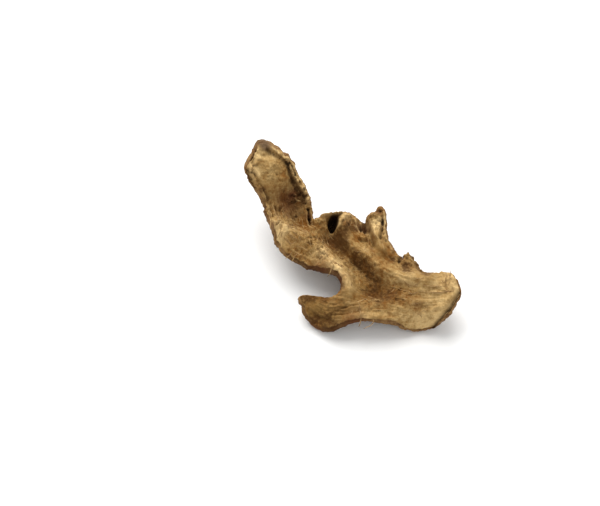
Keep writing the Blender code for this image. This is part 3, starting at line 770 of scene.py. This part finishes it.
def flatBlank():
    # the outline as one face, pulled up into a slab, then cut into even cells
    build = bmesh.new()
    ring = [build.verts.new((x, y, -ginger["slab"] / 2)) for x, y in edgeLoop]
    sides = [build.edges.new((a, b)) for a, b in zip(ring, ring[1:] + ring[:1])]
    bmesh.ops.triangle_fill(build, edges=sides, use_beauty=True)
    grown = bmesh.ops.extrude_face_region(build, geom=build.faces[:], use_keep_orig=True)["geom"]
    top = [item for item in grown if isinstance(item, bmesh.types.BMVert)]
    bmesh.ops.translate(build, verts=top, vec=(0, 0, ginger["slab"]))
    bmesh.ops.recalc_face_normals(build, faces=build.faces)
    blank = linked("blank", meshOf("blank", build))
    cells = blank.modifiers.new("cells", "REMESH")
    cells.mode = "VOXEL"
    cells.voxel_size = ginger["cell"]
    return shown(blank)


def store(mesh, masks):
    for name, values in masks.items():
        layer = mesh.attributes.new(name, "FLOAT", "POINT")
        layer.data.foreach_set("value", values.astype(np.float32))


def evenOut(mesh):
    shaped = bmesh.new()
    shaped.from_mesh(mesh)
    bmesh.ops.smooth_vert(
        shaped, verts=shaped.verts, factor=ginger["smoothing"],
        use_axis_x=True, use_axis_y=True, use_axis_z=True,
    )
    shaped.to_mesh(mesh)
    shaped.free()


def makeSlice():
    mesh = flatBlank()
    flat = pointsOf(mesh)
    plain, _ = shapeSlice(flat, False)
    low, high = plain.min(axis=0), plain.max(axis=0)
    offset = -np.array((*(low + high)[:2] / 2, low[2] + ginger["floorTrim"]))
    points, masks = shapeSlice(flat, True)
    movePoints(mesh, points + offset)
    store(mesh, masks)
    evenOut(mesh)
    settled = pointsOf(mesh)
    settled[:, 2] = np.maximum(settled[:, 2], 0)
    movePoints(mesh, settled)
    return finished("gingerSlice", mesh), offset, tuple(masks)


# Shader sockets that add, multiply and so on

class Wire:
    def __init__(self, tree, socket=None):
        self.tree = tree
        self.socket = socket

    def node(self, kind, settings=None, sockets=None, out=0):
        made = self.tree.nodes.new(kind)
        for name, value in (settings or {}).items():
            setattr(made, name, value)
        self.feed(made, sockets or {})
        return Wire(self.tree, made.outputs[out])

    def feed(self, node, sockets):
        for name, value in sockets.items():
            if isinstance(value, Wire):
                self.tree.links.new(value.socket, node.inputs[name])
            else:
                node.inputs[name].default_value = value

    def sum(self, operation, first, second):
        return self.node("ShaderNodeMath", {"operation": operation}, {0: first, 1: second})

    def __add__(self, other):
        return self.sum("ADD", self, other)

    __radd__ = __add__

    def __sub__(self, other):
        return self.sum("SUBTRACT", self, other)

    def __rsub__(self, other):
        return self.sum("SUBTRACT", other, self)

    def __mul__(self, other):
        return self.sum("MULTIPLY", self, other)

    __rmul__ = __mul__

    def between(self, low, high):
        return self.node(
            "ShaderNodeMapRange", {"interpolation_type": "SMOOTHSTEP"},
            {"Value": self, "From Min": low, "From Max": high},
        )

    def mix(self, first, second):
        # this wire chooses between two colours
        return self.node("ShaderNodeMix", {"data_type": "RGBA"}, {0: self, 6: first, 7: second}, 2)

    def attribute(self, name):
        return self.node("ShaderNodeAttribute", {"attribute_name": name}, out=2)

    def speckle(self, where, size, detail=3.0, rough=0.55):
        # noise whose spots are about that size, from 0 to 1
        sockets = {"Vector": where, "Scale": 1 / size, "Detail": detail, "Roughness": rough}
        return self.node("ShaderNodeTexNoise", None, sockets)


def straight(value):
    value /= 255
    return value / 12.92 if value <= 0.04045 else ((value + 0.055) / 1.055) ** 2.4


def srgb(*colour):
    return (*map(straight, colour), 1)


dried = {
    "fleshPale": srgb(205, 174, 120), "fleshTan": srgb(154, 122, 73),
    "fleshBrown": srgb(114, 73, 25), "fleshOlive": srgb(120, 90, 44),
    "fleshRed": srgb(100, 56, 32), "capGrey": srgb(100, 79, 58),
    # the dark brown on the next line is for stains and painted shade, the near black for painted shade
    # in pits, cracks, grooves, clefts and hollows
    "darkening": srgb(68, 38, 8), "creviceShade": srgb(34, 16, 4),
    "skinTan": srgb(150, 116, 72), "skinBrown": srgb(94, 62, 32),
    "skinGrey": srgb(146, 122, 88), "ringDark": srgb(62, 38, 18),
    "tanAt": (0.25, 0.6),  # tones of the flesh from brown to tan
    "paleAt": (0.5, 0.95),  # and from tan to pale
    "skinTanAt": (0.3, 0.75),
    # how the dark brown covers stains and painted shade
    "stainAndShadeAt": (0.35, 1.2), "stainAndShadeShare": 0.85,
    "flakeAt": (0.2, 0.6), "crustAt": (0.4, 0.62), "flakeShare": 0.7,
    "ringShare": 0.85, "creviceShadeAt": (0.1, 1.4), "creviceShadeShare": 0.9,
    "roughness": 0.8, "roughnessVaries": 0.12, "gloss": 0.12,
    "bumpStrength": 0.8, "fibreBump": 0.00012, "grainBump": 0.0001, "fibreInBump": 0.2,
}

# Sizes of the specks of colour, in millimetres.
specks = {"cloudy": 3.6, "mottled": 1.1, "blotchy": 0.6, "gritty": 0.36, "fleck": 0.22}

# What each tone and shade is the sum of: where it starts, and the share of each mask.
tones = {
    "flesh": (-0.2, {
        "cloudy": 0.5, "mottled": 0.55, "gritty": 0.35, "fibre": 0.035, "bundle": 0.03,
        "paleAndShaded": 0.3, "flecked": 0.9,
    }),
    "skin": (-0.2, {"cloudy": 0.6, "mottled": 0.4, "gritty": 0.4}),
    # how the stains and painted shade are broken up
    "stainAndShadeSpecks": (-1.1, {"mottled": 2, "blotchy": 2.2}),
    "stainAndShadeEdge": (0, {"gritty": 0.5, "fibre": -0.05}),
    # painted shade: how dark pits, cracks, grooves, clefts and hollows are made
    "shade": (0, {"sunk": 0.6, "cleftShade": 0.8}),
}

# Stains: the mask, how much of it shows everywhere and how much with the specks, the
# specks, the values where the stain begins and where it covers, and its colour.
fleshStains = (
    ("olive", 0.2, 1, "mottled", 0, 1.1, "fleshOlive"),
    ("red", 0.2, 1, "mottled", 0, 1.1, "fleshRed"),
    ("grey", 0.3, 1, "mottled", 0, 1.1, "capGrey"),
)
lipLight = ("lip", 0.5, 1, "gritty", 0.15, 1.1, "fleshPale")
skinStains = (
    ("red", 0.8, 0, "mottled", 0, 1, "fleshRed"),
    ("grey", 0.1, 0.9, "mottled", 0, 1.1, "capGrey"),
)
# stains and painted shade on the skin side and its walls
skinStainAndShade = ("stainAndShade", 0.5, 1, "mottled", 0, 1.5, "darkening")


def newMaterial(name):
    material = bpy.data.materials.new(name)
    material.use_nodes = True
    return material, Wire(material.node_tree), material.node_tree.nodes["Principled BSDF"]


def gingerMaterial(masks):
    material, wire, shader = newMaterial("driedGinger")
    place = wire.node("ShaderNodeTexCoord", out=3)
    look = {name: wire.attribute(name) for name in masks}
    look.update((name, wire.speckle(place, size * mm)) for name, size in specks.items())
    look["flecked"] = look["rough"] * (look["fleck"] - 0.5)

    def tone(name):
        total, shares = tones[name]
        for part, share in shares.items():
            total = total + share * look[part]
        return total

    def tinted(under, mask, even, uneven, kind, low, high, colour):
        strength = look[mask] * (even + uneven * look[kind])
        return strength.between(low, high).mix(under, dried[colour])

    light = tone("flesh")
    flesh = light.between(*dried["tanAt"]).mix(dried["fleshBrown"], dried["fleshTan"])
    flesh = light.between(*dried["paleAt"]).mix(flesh, dried["fleshPale"])
    for darkening in fleshStains:
        flesh = tinted(flesh, *darkening)
    # stains and painted shade of the cut face, in the dark brown
    stainedAndShaded = (look["stainAndShade"] * tone("stainAndShadeSpecks") + tone("stainAndShadeEdge")).between(*dried["stainAndShadeAt"])
    flesh = (stainedAndShaded * dried["stainAndShadeShare"]).mix(flesh, dried["darkening"])
    flesh = tinted(flesh, *lipLight)

    skin = tone("skin").between(*dried["skinTanAt"]).mix(dried["skinBrown"], dried["skinTan"])
    flaky = look["flake"] * look["gritty"].between(*dried["flakeAt"])
    skin = (flaky * dried["flakeShare"]).mix(skin, dried["skinGrey"])
    for darkening in skinStains:
        skin = tinted(skin, *darkening)
    skin = (look["ring"] * dried["ringShare"]).mix(skin, dried["ringDark"])
    # stains and painted shade of the skin side
    skin = tinted(skin, *skinStainAndShade)

    crusty = look["crust"] * look["gritty"].between(*dried["crustAt"])
    flesh = (crusty * dried["flakeShare"]).mix(flesh, dried["skinTan"])
    colour = look["cutFace"].mix(skin, flesh)
    # painted shade in pits, cracks, grooves, clefts and hollows
    shade = tone("shade").between(*dried["creviceShadeAt"])
    colour = (shade * dried["creviceShadeShare"]).mix(colour, dried["creviceShade"])

    bump = {
        "Strength": dried["bumpStrength"], "Distance": dried["fibreBump"],
        "Height": dried["fibreInBump"] * look["fibre"] + look["mottled"],
    }
    coarse = wire.node("ShaderNodeBump", None, bump)
    bump.update({"Distance": dried["grainBump"], "Height": look["gritty"], "Normal": coarse})
    uneven = wire.node("ShaderNodeBump", None, bump)
    roughness = dried["roughness"] + dried["roughnessVaries"] * (look["mottled"] - 0.5)
    wire.feed(shader, {
        "Base Color": colour, "Normal": uneven, "Roughness": roughness,
        "Specular IOR Level": dried["gloss"],
    })
    return material


slicePiece, offset, maskNames = makeSlice()
slicePiece.data.materials.append(gingerMaterial(maskNames))
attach(slicePiece, "root")
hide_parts("ginger_slice")
print("slice:", len(slicePiece.data.polygons), "faces")


# Fibres that the drying has freed from the cut face

fibres = {
    "count": 190, "seed": 7,
    "span": (-23, 23, 0, 42),  # where they are sought, from left to right and up
    "tries": 400, "fromEdge": 0.5, "hollowLimit": 0.4,
    "points": 9, "lengths": (1, 3.2), "radii": (0.05, 0.09),
    "taper": 0.75, "arch": 0.06, "sunk": 0.04,
    "loose": 0.04,  # share that stands off at one end
    "standOff": 0.4,
    "wander": 12,  # degrees from the run of the fibres
    "longSteps": 4, "longRadius": 0.095, "longTaper": 0.6,
    "colour": srgb(192, 156, 100), "tipColour": srgb(126, 90, 46),
    "mottleSize": 1.6, "mottleAt": (0.35, 0.65), "roughness": 0.7,
}

# Where they lie: centre, reach, share.
hairy = (
    (-16.6, 23.4, 2.6, 1), (-14, 25.8, 2.2, 1), (-12.6, 21.6, 2.6, 0.8), (-7.6, 19, 2.6, 0.8),
    (-4.2, 15.6, 2.4, 1), (-1.6, 11.4, 2, 0.7), (0.6, 4.6, 2.6, 0.4), (20.8, 11, 2, 0.6),
    (12, 8, 3.6, 0.35), (3, 18.4, 2.2, 0.4), (-8.9, 25, 1.2, 0.8), (5.4, 23, 1.6, 0.5),
    (-18.6, 27, 1.4, 0.6),
)

# Those that stand out: their line, each point with its height above the cut face.
longFibres = (
    ((1.3, 6.2, 0.1), (1.5, 5, 0.3), (1.7, 3.8, 0.4), (1.8, 2.8, 0.1), (1.5, 2, -0.4),
     (1.2, 1.7, -0.8)),
    ((4.2, 2.9, 0.1), (4.5, 2.4, 0.1), (3.9, 1.8, -0.2), (2.9, 1.5, -0.5), (2.1, 1.3, -0.8)),
    ((-7.9, 20.9, 0.1), (-7.6, 20.2, 0.35), (-7, 19.8, 0.4), (-6.2, 19.6, 0.1)),
    ((-18.4, 27.3, 0.1), (-18.3, 25.4, 0.3), (-18.4, 23.6, 0.3), (-18.3, 21.8, 0.1)),
    ((-17.4, 27.6, 0.1), (-17.1, 25.6, 0.25), (-17, 23.4, 0.25), (-16.8, 21.6, 0.1)),
    ((-16.5, 27, 0.1), (-16.4, 25, 0.2), (-16.7, 22.8, 0.1)),
    ((-14.6, 16.2, -0.4), (-13.8, 16.6, 0.3), (-13.2, 17.6, 0.1)),
    ((-13.2, 15.6, -0.6), (-12.7, 16.4, 0.3), (-12, 17.2, 0.1)),
    ((21.2, 13.6, 0.2), (21.3, 11.8, 0.3), (21, 10, 0.1)),
    ((20.4, 13.2, 0.1), (20.5, 11.6, 0.25), (20.2, 10.4, 0.05)),
    ((15, 9.9, 0.05), (18, 9.7, 0.2), (20.8, 9.9, 0.05)),
    ((16.6, 8.8, 0.05), (19, 8.5, 0.15), (22, 9, 0.05)),
)


def tapered(thick, taper, share):
    # thinner towards both ends
    return thick * (1 - taper * np.abs(2 * share - 1) ** 3)


def fibreStarts(chance):
    left, right, low, high = fibres["span"]
    starts = []
    while len(starts) < fibres["count"]:
        tries = range(fibres["tries"])
        spot = np.array([(chance.uniform(left, right), chance.uniform(low, high)) for _ in tries])
        clear = insideEdge(spot) & (edgeOf(spot)[0] > fibres["fromEdge"])
        clear &= ovals(spot, hollows) < fibres["hollowLimit"]
        kept = spots(spot, hairy) > np.array([chance.random() for _ in tries])
        starts += spot[clear & kept].tolist()
    return np.array(starts[:fibres["count"]])


def fibreLines():
    # places on the cut face, each with its height above it and its thickness
    chance = random.Random(fibres["seed"])
    at = fibreStarts(chance)
    turn = np.radians([chance.gauss(0, fibres["wander"]) for _ in at])
    bend = np.radians([chance.gauss(0, fibres["wander"] / 2) for _ in at])
    reach = np.array([chance.uniform(*fibres["lengths"]) for _ in at])
    last = fibres["points"] - 1
    paths = [at]
    for step in range(last):
        x, y = fibreWay(at).T
        cos, sin = np.cos(turn + bend * step), np.sin(turn + bend * step)
        at = at + np.column_stack([x * cos - y * sin, x * sin + y * cos]) * (reach / last)[:, None]
        paths.append(at)
    share = np.linspace(0, 1, fibres["points"])
    rows = []
    for path in np.stack(paths, axis=1):
        thick = chance.uniform(*fibres["radii"])
        free = fibres["standOff"] * chance.random() if chance.random() < fibres["loose"] else 0
        above = fibres["arch"] * np.sin(math.pi * share) - fibres["sunk"] + free * share**3
        rows.append((path, above, tapered(thick, fibres["taper"], share)))
    for path in longFibres:
        path = smoothPath(np.array(path), fibres["longSteps"])
        share = np.linspace(0, 1, len(path))
        thick = tapered(fibres["longRadius"], fibres["longTaper"], share)
        rows.append((path[:, :2], path[:, 2], thick))
    return rows


def makeFibres():
    rows = fibreLines()
    flat = np.vstack([path for path, _, _ in rows])
    top = np.column_stack([flat, np.full(len(flat), ginger["slab"] / 2)])
    onFace, _ = shapeSlice(top, True)
    upward = sheetNormal(flat) @ drawingAxes
    curve = bpy.data.curves.new("fibres", "CURVE")
    curve.dimensions = "3D"
    curve.bevel_depth = 1.0  # times each point's own radius
    curve.bevel_resolution = 0
    curve.use_fill_caps = True
    done = 0
    for path, above, thick in rows:
        line = curve.splines.new("POLY")
        line.points.add(len(path) - 1)
        part = slice(done, done + len(path))
        places = onFace[part] + offset + above[:, None] * upward[part]
        places[:, 2] = np.maximum(places[:, 2], thick)
        for point, spot, size in zip(line.points, places, thick):
            point.co = (*spot, 1)
            point.radius = size
        done += len(path)
    return finished("looseFibres", shown(linked("fibreCurve", curve)))


def fibreMaterial():
    material, wire, shader = newMaterial("driedFibre")
    mottled = wire.speckle(wire.node("ShaderNodeTexCoord", out=3), fibres["mottleSize"] * mm)
    colour = mottled.between(*fibres["mottleAt"]).mix(fibres["tipColour"], fibres["colour"])
    wire.feed(shader, {"Base Color": colour, "Roughness": fibres["roughness"]})
    return material


fibrePiece = makeFibres()
fibrePiece.data.materials.append(fibreMaterial())
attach(fibrePiece, "root")
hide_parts("ginger_slice")
print("fibres:", len(fibrePiece.data.polygons), "faces")


# Floor, light and camera

studio = {
    "lens": 135, "clipStart": 0.01,
    "frameWidth": 132,  # what the picture takes in across, at the slice
    "aimAt": (-11.44, 17.38, -9),
    "floorSize": 3, "floorColour": (0.86, 0.86, 0.85, 1), "floorRoughness": 0.9,
    "worldStrength": 0.64, "lampSize": 0.8,
    "lamps": {  # power and place
        "key": (10.6, (-0.16, 0.5, 0.66)),
        "fill": (1.2, (0.5, -0.5, 0.6)),
    },
}


def makeFloor():
    build = bmesh.new()
    bmesh.ops.create_grid(build, x_segments=1, y_segments=1, size=studio["floorSize"] / 2)
    mesh = meshOf("floor", build)
    material, wire, shader = newMaterial("paleFloor")
    wire.feed(shader, {"Base Color": studio["floorColour"], "Roughness": studio["floorRoughness"]})
    mesh.materials.append(material)
    floor = linked("floor", mesh)


def aimed(name, data, place, towards):
    holder = linked(name, data)
    holder.location = place
    holder.rotation_mode = "QUATERNION"
    holder.rotation_quaternion = towards.to_track_quat("-Z", "Y")
    return holder


def makeLight(name, power, place):
    lamp = bpy.data.lights.new(name, "AREA")
    lamp.energy = power
    lamp.size = studio["lampSize"]
    aimed(name, lamp, place, -Vector(place))


def makeCamera():
    x, y, w = studio["aimAt"]
    aim = Vector((x, 0, 0)) + y * upSlope + w * towardsEye + Vector(offset)
    camera = bpy.data.cameras.new("camera")
    camera.lens = studio["lens"]
    camera.clip_start = studio["clipStart"]
    away = studio["lens"] / camera.sensor_width * studio["frameWidth"]
    place = (aim + away * towardsEye) * mm
    bpy.context.scene.camera = aimed("camera", camera, place, -towardsEye)


makeFloor()
for name, lamp in studio["lamps"].items():
    makeLight(name, *lamp)
world = bpy.data.worlds.new("studio")
world.use_nodes = True
background = world.node_tree.nodes["Background"].inputs
background["Color"].default_value = (1, 1, 1, 1)
background["Strength"].default_value = studio["worldStrength"]
bpy.context.scene.world = world
bpy.context.scene.view_settings.view_transform = "Standard"
makeCamera()
print("studio: floor, lights and camera")
